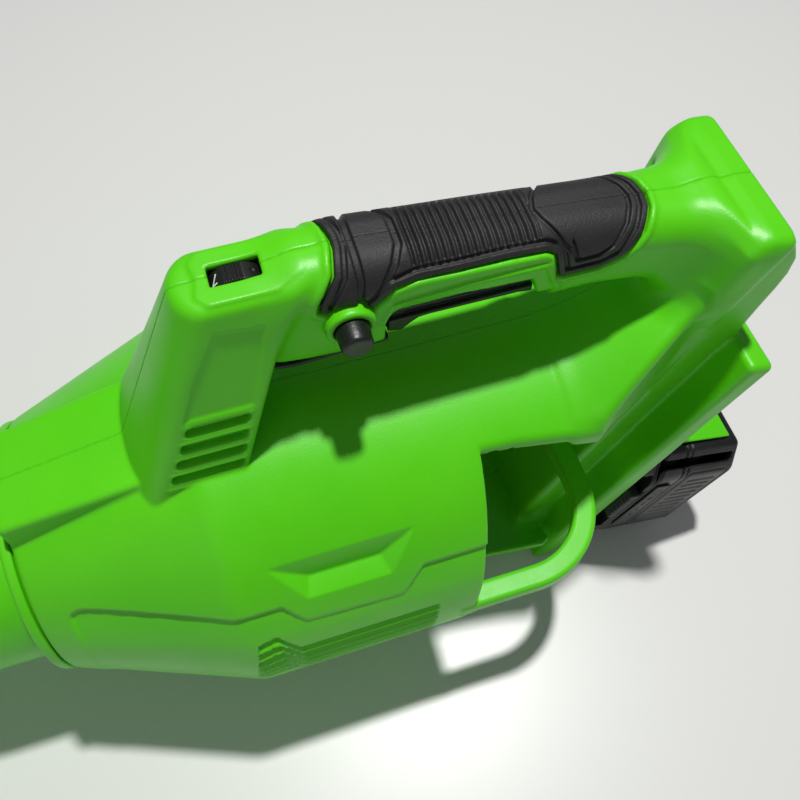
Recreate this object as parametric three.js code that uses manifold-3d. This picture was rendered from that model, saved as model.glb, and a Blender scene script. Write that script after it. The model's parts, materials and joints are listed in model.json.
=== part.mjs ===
// Cordless leaf blower: an axial fan in a round barrel, a carrying handle on a raked pylon, and a
// leaning rear column that carries a slide-on battery pack. Millimetres, +Z up. The blow axis runs
// along X and blows towards -X. The origin is on the floor, under the middle of the barrel's foot.
import * as THREE from 'three';
import { mergeVertices } from 'three/addons/utils/BufferGeometryUtils.js';
import { ConvexGeometry } from 'three/addons/geometries/ConvexGeometry.js';
import Module from 'manifold-3d';

const wasm = await Module();
wasm.setup();

// ---- driving dimensions -------------------------------------------------------------------
const AXIS_Z = 116;              // height of the blow axis above the floor
const WALL = 3;                  // housing wall
const GAP = 0.3;                 // clearance between pieces that touch
const SEAM = 0.15;               // half the gap between the two housing halves

const BARREL = { front: -128, crease: -47, rim: 62, rimLean: 0.14, frontR: 69, R: 100 };
const NOZZLE_HOLE_R = 57.2;
const TUBE = { tip: -430, rear: -122, R: 56, tipR: 50, wall: 2.2, lip: 1.6 };
const COLLAR = { front: -142, step: -134, R: 66.5, skirtR: 62, boreR: 56.4 };
const FAIRING = { front: -127, rear: -68, frontZ: 194, rearZ: 207, half: 28 };
const SHOULDER = { start: 55, end: 122, innerR: 94, halfAngle: 34 };
const HOOP = { front: 63.2, rear: 145, half: 100, corner: 47, width: 12, height: 10.5 };

const COLUMN = { baseX: 111.6, tilt: 19, half: 36, depth: 22 };
const DOCK = { near: 18, far: 33, top: 231, half: 56 };
const FOOT = { length: 90, half: 25, pad: 3 };

const DUCT = { flangeX: 50, throatX: 26, throatR: 66, endX: -112, endR: 54.5, wall: 2.2 };
const MOTOR = { R: 24, front: -52, rear: 4, shaftR: 2.5 };
const STATOR = { R: 28, front: -62, rear: 10, vanes: 7 };
const FAN = { hubR: 27, tipR: 64.6, front: 14, rear: 36, blades: 9 };
const GRILLE_X = 55;
const GRILLE_BACK = 58;
const AIR_PATH_X = -10;          // the fan, motor and duct sit this far along X from their own zero

const GRIP = { front: 25, rear: 153, skin: 2.2 };
const TRIGGER = { pivotX: 2, pivotZ: 261, half: 7, rear: 111 };
const LOCK_OFF = { x: 26, z: 274, R: 6.7, tipY: -31 };
const DIAL = { x: -10.4, z: 284.5, R: 11.6, half: 4.2 };
const WINDOW = { long: 19, wide: 9.4 };
const PACK = { near: 33.8, rail: 46, far: 104, bottom: 47, top: 133, half: 58.5 };
const CELL = { R: 9.2, length: 65, pitch: 19 };

// ---- finishes -----------------------------------------------------------------------------
const finish = (color, roughness, metalness = 0) => (
  new THREE.MeshStandardMaterial({ color, roughness, metalness })
);
const GREEN = finish(0x4fc00f, 0.42);
const RUBBER = finish(0x1b1b1c, 0.75);
const BLACK = finish(0x17181a, 0.5);
const GREY = finish(0x3c3f42, 0.55);
const STEEL = finish(0xb5b8bc, 0.3, 1);
const COPPER = finish(0xc48a4a, 0.35, 1);
const BOARD = finish(0x1e5b36, 0.55);
const WIRE = finish(0x8f1a1a, 0.5);

// ---- solids -------------------------------------------------------------------------------
function signedVolume(position, index) {
  const a = new THREE.Vector3();
  const b = new THREE.Vector3();
  const c = new THREE.Vector3();
  let volume = 0;
  for (let i = 0; i < index.count; i += 3) {
    a.fromBufferAttribute(position, index.getX(i));
    b.fromBufferAttribute(position, index.getX(i + 1));
    c.fromBufferAttribute(position, index.getX(i + 2));
    volume += a.dot(b.cross(c)) / 6;
  }
  return volume;
}

function solid(geometry) {
  const bare = new THREE.BufferGeometry();
  bare.setAttribute('position', geometry.getAttribute('position').clone());
  if (geometry.index) bare.setIndex(geometry.index.clone());
  const merged = mergeVertices(bare, 1e-4);
  const position = merged.getAttribute('position');
  const index = merged.index;
  const flip = signedVolume(position, index) < 0;
  const triangles = [];
  for (let i = 0; i < index.count; i += 3) {
    const [a, b, c] = [index.getX(i), index.getX(i + 1), index.getX(i + 2)];
    if (a === b || b === c || a === c) continue;
    triangles.push(a, flip ? c : b, flip ? b : c);
  }
  return new wasm.Manifold(new wasm.Mesh({
    numProp: 3,
    vertProperties: new Float32Array(position.array),
    triVerts: new Uint32Array(triangles),
  }));
}

const union = (...solids) => solids.reduce((sum, next) => sum.add(next));

function toGeometry(body) {
  const mesh = body.getMesh();
  const geometry = new THREE.BufferGeometry();
  geometry.setAttribute('position', new THREE.BufferAttribute(new Float32Array(mesh.vertProperties), 3));
  geometry.setIndex(new THREE.BufferAttribute(new Uint32Array(mesh.triVerts), 1));
  return geometry;
}

function box(x0, x1, y0, y1, z0, z1) {
  const geometry = new THREE.BoxGeometry(x1 - x0, y1 - y0, z1 - z0);
  geometry.translate((x0 + x1) / 2, (y0 + y1) / 2, (z0 + z1) / 2);
  return solid(geometry);
}

// A profile of [x, radius] points turned about a line parallel to X at height z.
function latheX(profile, segments, z = AXIS_Z) {
  const points = profile.map(([x, r]) => new THREE.Vector2(r, x));
  const geometry = new THREE.LatheGeometry(points, segments);
  geometry.rotateZ(-Math.PI / 2);
  geometry.translate(0, 0, z);
  return solid(geometry);
}

function latheY(profile, segments, x, z) {
  const points = profile.map(([y, r]) => new THREE.Vector2(r, y));
  const geometry = new THREE.LatheGeometry(points, segments);
  geometry.translate(x, 0, z);
  return solid(geometry);
}

// A closed outline of [x, z] points, as thick as y0 to y1.
function plateXZ(outline, y0, y1) {
  const shape = new THREE.Shape(outline.map(([x, z]) => new THREE.Vector2(x, z)));
  const geometry = new THREE.ExtrudeGeometry(shape, { depth: y1 - y0, bevelEnabled: false });
  geometry.rotateX(Math.PI / 2);
  geometry.translate(0, y1, 0);
  return solid(geometry);
}

function hull(points) {
  return solid(new ConvexGeometry(points.map(([x, y, z]) => new THREE.Vector3(x, y, z))));
}

function tubeAlong(points, radius, steps, sides) {
  const path = new THREE.CatmullRomCurve3(points.map((p) => new THREE.Vector3(...p)));
  const shape = new THREE.Shape();
  shape.absarc(0, 0, radius, 0, 2 * Math.PI);
  return solid(new THREE.ExtrudeGeometry(shape, {
    steps, extrudePath: path, bevelEnabled: false, curveSegments: sides,
  }));
}

const blower = new THREE.Group();

function piece(name, body, material, parent = blower) {
  const mesh = new THREE.Mesh(toGeometry(body), material);
  mesh.name = name;
  parent.add(mesh);
  return mesh;
}

// The column frame leans back: its z runs up the column, and its x points away from the barrel.
const columnGroup = new THREE.Group();
columnGroup.position.set(COLUMN.baseX, 0, 0);
columnGroup.rotation.y = THREE.MathUtils.degToRad(COLUMN.tilt);
columnGroup.updateMatrix();
blower.add(columnGroup);
const inColumn = (body) => body.transform(columnGroup.matrix.toArray());

// ---- housing outline ----------------------------------------------------------------------
function barrelOutside() {
  const { front, crease, rim, rimLean, frontR, R } = BARREL;
  const drum = latheX([[front, 0], [front, frontR], [crease, R], [90, R], [90, 0]], 56);
  const rimAt = (z) => rim + rimLean * (z - AXIS_Z);
  const behindRim = plateXZ([[rimAt(-20), -20], [200, -20], [200, 260], [rimAt(260), 260]], -120, 120);
  return drum.subtract(behindRim);
}

function barrelInside() {
  const { front, crease, frontR, R } = BARREL;
  return latheX([
    [front - 10, 0], [front - 10, NOZZLE_HOLE_R], [front + WALL, NOZZLE_HOLE_R],
    [front + WALL, frontR - WALL], [crease, R - WALL], [90, R - WALL], [90, 0],
  ], 56);
}

function fairing() {
  const { front, rear, frontZ, rearZ, half } = FAIRING;
  return plateXZ([[front, 170], [rear, 180], [rear, rearZ], [front, frontZ]], -half, half);
}

// The pylon's outline at height z: a rounded nose in front and square corners behind.
function pylonOutline(z, inset) {
  const t = (z - 210) / 86;
  const mix = (low, high) => low + (high - low) * t;
  const half = mix(34.5, 14.5) - inset;
  const rear = mix(-23, 11) - inset;
  const side = mix(-61, -21) + inset / 2;
  const nose = mix(-80, -28) + inset;
  const points = [
    [rear, half * 0.86, z], [rear, -half * 0.86, z], [rear - 4, half, z], [rear - 4, -half, z],
  ];
  for (let i = 0; i <= 8; i += 1) {
    const angle = (Math.PI * i) / 8;
    points.push([side - (side - nose) * Math.sin(angle), half * Math.cos(angle), z]);
  }
  return points;
}

const pylon = (inset, top) => hull([...pylonOutline(178, inset), ...pylonOutline(top, inset)]);

// Handle sections: [x, top, bottom, half width]
const HANDLE = [
  [-8, 289, 246, 14], [10, 299, 247, 17], [25, 300, 250, 18.5], [80, 294, 252, 18],
  [130, 288, 252, 18], [153, 285, 250, 19], [183, 282, 232, 23], [200, 280, 216, 30],
];

function handleSection([x, top, bottom, half], inset) {
  const points = [];
  const middle = (top + bottom) / 2;
  for (let i = 0; i < 20; i += 1) {
    const angle = (2 * Math.PI * i) / 20;
    const [c, s] = [Math.cos(angle), Math.sin(angle)];
    const y = (half - inset) * Math.sign(c) * Math.abs(c) ** 0.75;
    const z = middle + ((top - bottom) / 2 - inset) * Math.sign(s) * Math.abs(s) ** 0.75;
    points.push([x, y, z]);
  }
  return points;
}

function handle(inset, sections = HANDLE) {
  const spans = sections.slice(1).map((section, i) => (
    hull([...handleSection(sections[i], inset), ...handleSection(section, inset)])
  ));
  return union(...spans);
}

// The grip's rubber covers the handle above this line.
function gripZone(grow) {
  const { front, rear } = GRIP;
  return plateXZ([
    [front - grow, 279 - grow], [90, 279 - grow], [102, 270 - grow], [rear + grow, 270 - grow],
    [rear + grow, 320], [front - grow, 320],
  ], -40, 40);
}

// The top of the barrel carries on rearwards over the intake and runs into the column.
function shoulder() {
  const { start, end, innerR, halfAngle } = SHOULDER;
  const shape = new THREE.Shape();
  const [a0, a1] = [90 - halfAngle, 90 + halfAngle].map(THREE.MathUtils.degToRad);
  shape.absarc(0, 0, BARREL.R, a0, a1, false);
  shape.absarc(0, 0, innerR, a1, a0, true);
  const roof = new THREE.ExtrudeGeometry(shape, {
    depth: end - start, bevelEnabled: false, curveSegments: 12,
  });
  // The extrusion's (x, y, z) becomes (y, z, x) of the object.
  roof.applyMatrix4(new THREE.Matrix4().set(0, 0, 1, start, 1, 0, 0, 0, 0, 1, 0, AXIS_Z, 0, 0, 0, 1));
  const ramp = [];
  for (let i = 0; i <= 8; i += 1) {
    const angle = a0 + ((a1 - a0) * i) / 8;
    ramp.push([end - 2, BARREL.R * Math.cos(angle), AXIS_Z + BARREL.R * Math.sin(angle)]);
    ramp.push([end - 2, innerR * Math.cos(angle), AXIS_Z + innerR * Math.sin(angle)]);
  }
  ramp.push([185, 35, 188], [185, -35, 188], [196, 35, 240], [196, -35, 240]);
  return union(solid(roof), hull(ramp));
}

function columnOutside() {
  const { half, depth } = COLUMN;
  const slab = plateXZ([
    [0, -60], [depth, -60], [depth, 222], [17, 262], [13, 282], [3, 295], [-10, 296],
    [-17, 286], [-17, 262], [0, 238],
  ], -half, half);
  const dock = plateXZ([
    [DOCK.near, -60], [DOCK.far, -60], [DOCK.far, DOCK.top], [DOCK.near, DOCK.top],
  ], -DOCK.half, DOCK.half);
  const ground = box(0, 300, -80, 80, -90, FOOT.pad + GAP);
  return inColumn(union(slab, dock)).subtract(ground);
}

function columnInside() {
  const { half, depth } = COLUMN;
  const slab = plateXZ([
    [WALL, -20], [depth - WALL, -20], [depth - WALL, 222], [12, 270], [2, 288], [-10, 290],
    [-12, 262], [WALL, 240],
  ], -half + WALL, half - WALL);
  const dock = plateXZ([
    [DOCK.near - 6, -20], [DOCK.far - WALL, -20], [DOCK.far - WALL, DOCK.top - WALL],
    [DOCK.near - 6, DOCK.top - WALL],
  ], -DOCK.half + WALL, DOCK.half - WALL);
  // The dock's front wall stays on both sides of the column, and is open between its walls.
  const frontWall = (y0, y1) => plateXZ([
    [DOCK.near - 8, -30], [DOCK.near + WALL, -30], [DOCK.near + WALL, 260], [DOCK.near - 8, 260],
  ], y0, y1);
  const dockFront = frontWall(-DOCK.half, -half + WALL).add(frontWall(half - WALL, DOCK.half));
  const ground = box(0, 300, -80, 80, -60, FOOT.pad + GAP + WALL);
  return inColumn(union(slab, dock.subtract(dockFront))).subtract(ground);
}

// Screw places in the housing: [x, z, outer half width]
const SCREWS = [
  [-34, 236, 27.5], [14, 283, 15.5], [176, 264, 21], [-100, 184, 35], [188, 236, 35], [150, 104, 35],
  [134, 30, 35],
];
const SCREW = { headR: 3.7, headLength: 3, shankR: 1.8, depth: 5, left: -10 };

function screwBoss([x, z, half]) {
  return latheY([[-half, 0], [-half, 5.2], [half, 5.2], [half, 0]], 12, x, z);
}

function screwBore([x, z, half]) {
  const seat = half - SCREW.depth;
  const bore = SCREW.shankR + GAP;
  return latheY([
    [SCREW.left - 2, 0], [SCREW.left - 2, bore], [seat, bore], [seat, SCREW.headR + GAP],
    [half + 30, SCREW.headR + GAP], [half + 30, 0],
  ], 12, x, z);
}

function screwBody([x, z, half]) {
  const seat = half - SCREW.depth + GAP;
  return latheY([
    [SCREW.left, 0], [SCREW.left, SCREW.shankR], [seat, SCREW.shankR], [seat, SCREW.headR],
    [seat + SCREW.headLength, SCREW.headR], [seat + SCREW.headLength, 0],
  ], 12, x, z);
}

function housing() {
  const whole = handle(0);
  const core = handle(GRIP.skin + GAP);
  const bareHandle = whole.subtract(gripZone(GAP)).add(core);
  const outside = union(
    barrelOutside(), fairing(), pylon(0, 296), bareHandle, shoulder(), columnOutside(),
  );
  const inner = handle(5.6);
  const inside = union(barrelInside(), pylon(WALL, 292), inner, columnInside());
  const bosses = union(...SCREWS.map(screwBoss)).intersect(outside);
  const triggerSlot = box(-9, TRIGGER.rear + 3, -7.6, 7.6, 240, 261)
    .add(box(-9, 14, -7.6, 7.6, 250, 267));
  const { x, z } = LOCK_OFF;
  const ring = latheY([[-24.5, 0], [-24.5, 9.8], [-10, 11], [-10, 0]], 24, x, z);
  const lockHole = latheY([[-40, 0], [-40, 7.1], [-8, 7.1], [-8, 0]], 24, x, z);
  const window = box(
    DIAL.x - WINDOW.long / 2, DIAL.x + WINDOW.long / 2, -WINDOW.wide / 2, WINDOW.wide / 2, 286, 305,
  );
  const terminalHole = inColumn(box(DOCK.far - WALL - 2, DOCK.far + 2, -30, 30, 62, 116));
  return union(outside, ring.subtract(inner))
    .subtract(inside)
    .add(bosses)
    .subtract(union(...SCREWS.map(screwBore), triggerSlot, lockHole, window, terminalHole));
}

const shell = housing();
piece('left_housing_shell', shell.intersect(box(-500, 500, -200, -SEAM, -50, 400)), GREEN);
piece('right_housing_shell', shell.intersect(box(-500, 500, SEAM, 200, -50, 400)), GREEN);
SCREWS.forEach((place, i) => piece(`housing_screw_${i + 1}`, screwBody(place), STEEL));

// ---- handle pieces ------------------------------------------------------------------------
const gripSkin = handle(0).intersect(gripZone(0)).subtract(handle(GRIP.skin))
  .subtract(latheY([[-40, 0], [-40, 11.4], [-8, 11.4], [-8, 0]], 24, LOCK_OFF.x, LOCK_OFF.z));
piece('grip_left', gripSkin.intersect(box(0, 300, -40, -SEAM, 200, 320)), RUBBER);
piece('grip_right', gripSkin.intersect(box(0, 300, SEAM, 40, 200, 320)), RUBBER);

const { pivotX, pivotZ } = TRIGGER;
const lever = plateXZ([
  [-6, 254], [2, 249], [30, 247.5], [42, 246], [50, 247.5], [58, 249], [TRIGGER.rear - 4, 250],
  [TRIGGER.rear, 253], [TRIGGER.rear, 257], [60, 257], [8, 265], [-4, 264],
], -TRIGGER.half, TRIGGER.half)
  .subtract(latheY([[-9, 0], [-9, 2.4], [9, 2.4], [9, 0]], 16, pivotX, pivotZ))
  .subtract(box(-8, 10, -1.9, 1.9, 256.5, 270));
piece('trigger', lever, BLACK);
piece('trigger_pivot_pin', latheY([[-8.5, 0], [-8.5, 2], [8.5, 2], [8.5, 0]], 16, pivotX, pivotZ), STEEL);

function coilAlongY(x, z, y0, y1, radius, turns, wire) {
  const steps = turns * 12;
  const points = [];
  for (let i = 0; i <= steps; i += 1) {
    const angle = (2 * Math.PI * i) / 12;
    points.push([x + radius * Math.cos(angle), y0 + ((y1 - y0) * i) / steps, z + radius * Math.sin(angle)]);
  }
  return tubeAlong(points, wire, steps, 5);
}

piece('trigger_spring', coilAlongY(pivotX, pivotZ, -1.1, 1.1, 3.1, 2, 0.45), STEEL);

const { x: lockX, z: lockZ, R: lockR, tipY } = LOCK_OFF;
piece('lock_off_button', latheY([
  [tipY, 0], [tipY, lockR - 1.6], [tipY + 1, lockR - 0.7], [-23, lockR], [-14, lockR], [-14, 2.6],
  [-7, 2.6], [-7, 0],
], 28, lockX, lockZ), BLACK);
piece('lock_off_spring', coilAlongY(lockX, lockZ, -13.2, -7.5, 3.6, 3, 0.4), STEEL);

const wheel = latheY([
  [-DIAL.half, 0], [-DIAL.half, DIAL.R - 0.5], [-DIAL.half + 0.5, DIAL.R],
  [DIAL.half - 0.5, DIAL.R], [DIAL.half, DIAL.R - 0.5], [DIAL.half, 1.8], [7, 1.8], [7, 0],
], 36, DIAL.x, DIAL.z);
piece('speed_dial', wheel, BLACK);
piece('dial_potentiometer', box(DIAL.x - 5, DIAL.x + 5, 7.3, 10, DIAL.z - 6, DIAL.z + 5), GREY);
piece('trigger_switch', box(60, 88, -7, 7, 263, 279), BLACK);

// ---- blow end -----------------------------------------------------------------------------
piece('blow_tube', latheX([
  [TUBE.tip, TUBE.tipR - TUBE.wall], [TUBE.tip, TUBE.tipR + TUBE.lip],
  [TUBE.tip + 8, TUBE.tipR + TUBE.lip], [TUBE.tip + 10, TUBE.tipR + 0.2], [-180, TUBE.R],
  [TUBE.rear, TUBE.R], [TUBE.rear, TUBE.R - TUBE.wall], [-180, TUBE.R - TUBE.wall],
  [TUBE.tip, TUBE.tipR - TUBE.wall],
], 48), GREEN);
piece('locking_collar', latheX([
  [COLLAR.front, COLLAR.boreR], [COLLAR.front, COLLAR.R - 2], [COLLAR.front + 1.5, COLLAR.R],
  [COLLAR.step, COLLAR.R], [COLLAR.step, COLLAR.skirtR], [BARREL.front - GAP, COLLAR.skirtR],
  [BARREL.front - GAP, COLLAR.boreR], [COLLAR.front, COLLAR.boreR],
], 48), GREEN);

// ---- air path -----------------------------------------------------------------------------
const airPath = new THREE.Group();
airPath.position.x = AIR_PATH_X;
blower.add(airPath);

const { flangeX, throatX, throatR, endX, endR, wall: ductWall } = DUCT;
piece('fan_duct', latheX([
  [flangeX, 96.6], [flangeX + 2, 96.6], [flangeX + 2, 86], [46, 76], [38, 69], [throatX, throatR],
  [-40, throatR], [endX, endR], [endX, endR + ductWall], [-40, throatR + ductWall],
  [throatX, throatR + ductWall], [38, 69 + ductWall], [44.5, 77], [flangeX, 87], [flangeX, 96.6],
], 40), BLACK, airPath);

function blade(x0, x1, r0, r1, angle, pitch, thickness) {
  const span = new THREE.BoxGeometry(x1 - x0, thickness, r1 - r0, 1, 1, 4);
  const position = span.getAttribute('position');
  const corner = new THREE.Vector3();
  for (let i = 0; i < position.count; i += 1) {
    corner.fromBufferAttribute(position, i);
    const t = corner.z / (r1 - r0) + 0.5;
    corner.applyAxisAngle(new THREE.Vector3(0, 0, 1), pitch * (1.25 - 0.5 * t));
    position.setXYZ(i, corner.x, corner.y, corner.z);
  }
  span.translate((x0 + x1) / 2, 0, (r0 + r1) / 2);
  span.rotateX(angle);
  span.translate(0, 0, AXIS_Z);
  return solid(span);
}

function ringOfBlades(count, make) {
  return Array.from({ length: count }, (_, i) => make((2 * Math.PI * i) / count));
}

const stator = latheX([
  [STATOR.front, 0], [STATOR.front, STATOR.R], [STATOR.rear, STATOR.R], [STATOR.rear, MOTOR.R + 0.3],
  [MOTOR.front, MOTOR.R + 0.3], [MOTOR.front, 0],
], 32);
piece('stator_hub', union(stator, ...ringOfBlades(STATOR.vanes, (angle) => (
  blade(-36, -4, STATOR.R - 1, throatR - 1.2, angle, 0.22, 2)
))), BLACK, airPath);
piece('tail_cone', latheX([
  [-112, 0], [-106, 6], [-90, 16], [-74, 24], [STATOR.front - GAP, STATOR.R],
  [STATOR.front - GAP, 0],
], 32), BLACK, airPath);
piece('motor_can', latheX([
  [MOTOR.front + 2, 8.4], [MOTOR.front + 2, MOTOR.R], [MOTOR.rear, MOTOR.R], [MOTOR.rear, 8.4],
  [MOTOR.rear - 5, 8.4], [MOTOR.rear - 5, 12], [MOTOR.front + 8, 12], [MOTOR.front + 8, 8.4],
  [MOTOR.front + 2, 8.4],
], 28), STEEL, airPath);
const bearing = (x0, x1) => latheX([[x0, 2.9], [x0, 8], [x1, 8], [x1, 2.9], [x0, 2.9]], 20);
piece('motor_bearing_front', bearing(MOTOR.front + 2.5, MOTOR.front + 7.5), STEEL, airPath);
piece('motor_bearing_rear', bearing(MOTOR.rear - 4.5, MOTOR.rear), STEEL, airPath);
const shaft = latheX([
  [MOTOR.front + 1, 0], [MOTOR.front + 1, MOTOR.shaftR], [MOTOR.front + 9, MOTOR.shaftR],
  [MOTOR.front + 9, 11], [MOTOR.rear - 6, 11], [MOTOR.rear - 6, MOTOR.shaftR], [46, MOTOR.shaftR],
  [46, 0],
], 16);
piece('motor_shaft', shaft, COPPER, airPath);
const fanHub = latheX([
  [FAN.front, 2.8], [FAN.front, FAN.hubR], [FAN.rear, FAN.hubR - 1], [FAN.rear, 2.8],
  [FAN.front, 2.8],
], 32);
piece('fan_rotor', union(fanHub, ...ringOfBlades(FAN.blades, (angle) => (
  blade(FAN.front + 2, FAN.rear + 1, FAN.hubR - 2, FAN.tipR, angle, 0.62, 2.2)
))), BLACK, airPath);
piece('fan_spinner', latheX([
  [FAN.rear + GAP, 2.8], [FAN.rear + GAP, FAN.hubR - 3], [44, 18], [50, 8], [52, 0], [47, 0],
  [47, 2.8], [FAN.rear + GAP, 2.8],
], 28), GREY, airPath);

function grille() {
  const bars = [
    latheX([
      [GRILLE_X, 93.6], [GRILLE_X, 96.6], [GRILLE_BACK, 96.6], [GRILLE_BACK, 93.6], [GRILLE_X, 93.6],
    ], 32),
  ];
  [72, 48, 24].forEach((r) => {
    const [inner, outer] = [r - 1.2, r + 1.2];
    bars.push(latheX([
      [GRILLE_X, inner], [GRILLE_X, outer], [GRILLE_BACK, outer], [GRILLE_BACK, inner], [GRILLE_X, inner],
    ], 24));
  });
  for (let i = 0; i < 6; i += 1) {
    const spoke = new THREE.BoxGeometry(2.6, 2.4, 72);
    spoke.translate(56.5, 0, 59);
    spoke.rotateX((Math.PI * i) / 3 + Math.PI / 6);
    spoke.translate(0, 0, AXIS_Z);
    bars.push(solid(spoke));
  }
  return union(...bars);
}
piece('intake_grille', grille(), BLACK, airPath);

// The guard hoop runs level round the intake, from one side of the rim to the other.
function hoop() {
  const { front, rear, half, corner, width } = HOOP;
  const shape = new THREE.Shape();
  shape.moveTo(front, -half);
  shape.absarc(rear - corner, -half + corner, corner, -Math.PI / 2, 0, false);
  shape.absarc(rear - corner, half - corner, corner, 0, Math.PI / 2, false);
  shape.lineTo(front, half);
  shape.lineTo(front, half - width);
  shape.absarc(rear - corner, half - corner, corner - width, Math.PI / 2, 0, true);
  shape.absarc(rear - corner, -half + corner, corner - width, 0, -Math.PI / 2, true);
  shape.lineTo(front, -half + width);
  const geometry = new THREE.ExtrudeGeometry(shape, {
    depth: HOOP.height, bevelEnabled: false, curveSegments: 8,
  });
  geometry.translate(0, 0, AXIS_Z - HOOP.height / 2);
  return solid(geometry);
}
piece('intake_guard_hoop', hoop(), GREEN);

// ---- feet ---------------------------------------------------------------------------------
const barrelClear = latheX([[-200, 0], [-200, BARREL.R + GAP], [200, BARREL.R + GAP], [200, 0]], 96);
const { length: footLength, half: footHalf, pad } = FOOT;
const footBlock = box(-footLength / 2, footLength / 2, -footHalf, footHalf, 0, 22);
piece('barrel_foot', footBlock.subtract(barrelClear), RUBBER);
const soleBlock = plateXZ(
  [[0, -60], [DOCK.far, -60], [DOCK.far, 60], [0, 60]], -COLUMN.half + 2, COLUMN.half - 2,
);
piece('column_foot', inColumn(soleBlock).intersect(box(0, 300, -80, 80, 0, pad)), RUBBER);

// ---- electrics in the column --------------------------------------------------------------
piece('control_board', box(8, 9.8, -24, 24, 120, 200), BOARD, columnGroup);
piece('terminal_block', box(DOCK.far - WALL - 1, 38.5, -29.6, 29.6, 62.4, 115.6), BLACK, columnGroup);
[74, 88, 102].forEach((z, i) => {
  piece(`terminal_blade_${i + 1}`, box(38.8, 41, -18, 18, z - 0.5, z + 0.5), COPPER, columnGroup);
});
piece('power_lead', tubeAlong([
  [186.5, 0, 191], [193, 0, 215], [198.5, 0, 235], [197, 0, 250], [188, 0, 256], [176, 0, 250],
  [150, 0, 262], [110, 0, 268], [90.5, 0, 270],
], 1.8, 24, 6), WIRE);
piece('motor_lead', tubeAlong([
  [59, 0, 271], [40, 6, 270], [20, 6.4, 268.6], [2, 6.8, 268.6], [-14, 8, 262], [-23, 8, 244],
  [-26, 8.5, 220], [-30, 4, 202], [-34, 0, 188],
], 1.8, 20, 6), WIRE);

// ---- battery pack -------------------------------------------------------------------------
const { near: packNear, rail, far: packFar, bottom, top: packTop, half: packHalf } = PACK;

// An outline of [y, z] points in the column frame, as deep as x0 to x1.
function blockYZ(outline, x0, x1) {
  const shape = new THREE.Shape(outline.map(([y, z]) => new THREE.Vector2(y, z)));
  const geometry = new THREE.ExtrudeGeometry(shape, { depth: x1 - x0, bevelEnabled: false });
  geometry.applyMatrix4(new THREE.Matrix4().set(0, 0, 1, x0, 1, 0, 0, 0, 0, 1, 0, 0, 0, 0, 0, 1));
  return solid(geometry);
}

const caseOutline = [
  [-56, bottom], [56, bottom], [packHalf, bottom + 3], [packHalf, 118], [48, packTop],
  [-48, packTop], [-packHalf, 118], [-packHalf, bottom + 3],
];
const caseBody = blockYZ(caseOutline, rail + GAP, packFar)
  .subtract(box(rail - 1, packFar - 3, -54, 54, 51, 128));
piece('battery_case', caseBody, BLACK, columnGroup);
const frame = blockYZ([
  [-56, 50], [56, 50], [packHalf, 53], [packHalf, 116], [48, 129], [-48, 129], [-packHalf, 116],
  [-packHalf, 53],
], packNear, rail)
  .subtract(box(packNear - 1, 42.5, -70, 70, 59, 119))
  .subtract(box(packNear - 1, rail + 1, -70, -50, 74, 104));
piece('battery_rail_frame', frame, BLACK, columnGroup);
piece('battery_top_panel', box(52, 97, -44, 44, packTop + GAP, packTop + 1.8), GREEN, columnGroup);
piece('battery_gauge_panel', box(48.5, 58, -packHalf - 1.3, -packHalf - GAP, 60, 112), GREY, columnGroup);
piece('battery_release_button', box(35, 41.5, -packHalf - 1.2, -51, 75, 103), GREY, columnGroup);
for (let row = 0; row < 2; row += 1) {
  for (let i = 0; i < 5; i += 1) {
    const cell = new THREE.CylinderGeometry(CELL.R, CELL.R, CELL.length, 14);
    cell.rotateX(Math.PI / 2);
    cell.translate(59 + row * CELL.pitch + 2, (i - 2) * (CELL.pitch + 1), 90);
    piece(`battery_cell_${row * 5 + i + 1}`, solid(cell), GREY, columnGroup);
  }
}

export default blower;
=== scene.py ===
import json
import math

import bmesh
import bpy
import numpy as np
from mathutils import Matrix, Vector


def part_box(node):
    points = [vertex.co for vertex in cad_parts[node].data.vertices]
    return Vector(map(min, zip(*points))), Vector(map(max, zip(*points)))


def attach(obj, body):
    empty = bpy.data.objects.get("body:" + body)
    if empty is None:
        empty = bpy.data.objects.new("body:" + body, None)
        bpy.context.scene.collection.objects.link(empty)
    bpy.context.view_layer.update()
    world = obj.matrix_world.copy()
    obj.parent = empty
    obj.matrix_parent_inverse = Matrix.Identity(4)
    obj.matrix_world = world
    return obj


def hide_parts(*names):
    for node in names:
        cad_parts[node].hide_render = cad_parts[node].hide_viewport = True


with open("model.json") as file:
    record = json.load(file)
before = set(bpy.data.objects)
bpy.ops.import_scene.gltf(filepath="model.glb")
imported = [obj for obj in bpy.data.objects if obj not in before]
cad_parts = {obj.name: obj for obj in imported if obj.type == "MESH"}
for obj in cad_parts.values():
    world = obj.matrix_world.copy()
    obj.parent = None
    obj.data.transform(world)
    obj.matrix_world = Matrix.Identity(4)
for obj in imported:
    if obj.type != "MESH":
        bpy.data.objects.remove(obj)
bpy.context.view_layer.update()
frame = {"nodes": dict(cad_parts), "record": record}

import openvdb
from mathutils import Matrix, Vector

MM = 0.001
AXIS_Z = 116.0                    # height of the blow axis
BARREL_R = 100.0
TILT = math.radians(19)           # the column leans back by this much
COLUMN_X = 111.6                  # where the column's front face would meet the floor
WALL = 3.2
DRAFT = 1.0  # multiplies every voxel


# ---- fields -------------------------------------------------------------------------------
def both(a, b, soft=0.0):
    """Where a and b overlap; soft rounds the edge between them."""
    if np.isscalar(soft) and soft == 0:
        return np.maximum(a, b)
    near = np.maximum(soft - np.abs(a - b), 0) / soft
    return np.maximum(a, b) + near * near * soft / 4


def join(a, b, soft=0.0):
    return -both(-a, -b, soft)


def cut(a, b, soft=0.0):
    return both(a, -b, soft)


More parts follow.
